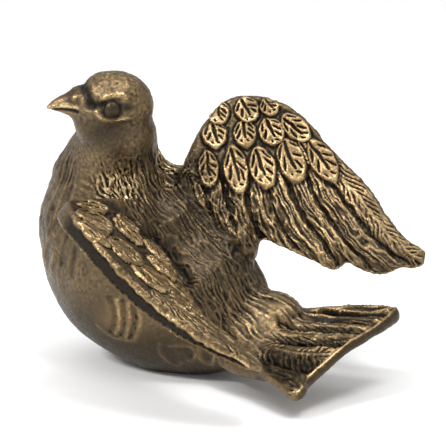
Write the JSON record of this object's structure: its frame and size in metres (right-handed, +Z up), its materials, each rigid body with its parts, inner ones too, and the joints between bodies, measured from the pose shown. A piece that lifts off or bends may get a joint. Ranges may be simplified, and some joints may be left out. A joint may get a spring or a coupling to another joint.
{
  "type": "statue",
  "caption": "Cast bronze dove with raised, cupped wings and a fanned tail, head turned to its left, leaf-shaped feathers on the wings, resting on its breast",
  "frame": {"origin": "The middle of the bounding box in plan, on the flat place under the breast on which the statue rests", "axes": "+X from the breast to the tail, +Y to the bird's right, +Z up. The body leans to its left, and the head is turned to its left."},
  "size_m": [0.1376, 0.1084, 0.1088],
  "materials": {
    "bronze": "cast bronze, dark brown patina with rubbed golden high places"
  },
  "bodies": {
    "root": {"dove_casting": "bronze"}
  },
  "joints": []
}
